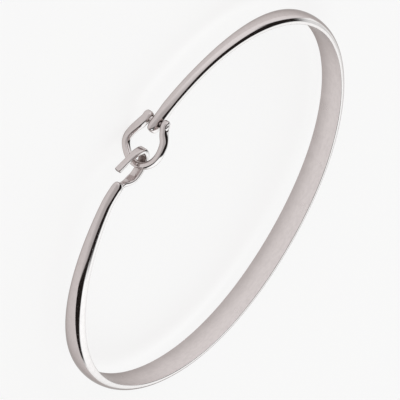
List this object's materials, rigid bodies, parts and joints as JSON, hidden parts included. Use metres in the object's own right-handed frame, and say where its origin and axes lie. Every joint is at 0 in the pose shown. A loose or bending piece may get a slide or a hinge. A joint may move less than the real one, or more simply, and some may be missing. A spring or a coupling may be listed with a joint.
{
  "type": "bangle bracelet",
  "caption": "Slim tapered D-section bangle that closes with a hinged horseshoe link over a folded strip hook.",
  "frame": {"origin": "middle of the bounding box's floor, with the hoop lying flat", "axes": "+Z along the hoop's axis, -Y towards the clasp at the front, +X towards the arm that carries the hook"},
  "size_m": [0.0628, 0.0586, 0.0071],
  "materials": {
    "polished_silver": "polished sterling silver, satin inside the band",
    "worked_silver": "hand-filed sterling silver with fine scratches"
  },
  "bodies": {
    "hoop": {"band": "polished_silver", "hook": "worked_silver"},
    "link": {"link": "polished_silver", "hinge_pin": "worked_silver"}
  },
  "joints": [
    {"name": "link_swing", "type": "hinge", "parent": "hoop", "child": "link", "pos_m": [-0.0059, -0.02801, 0.00382], "axis": [0, 0, 1], "range_deg": [-4.5, 2.5]}
  ]
}
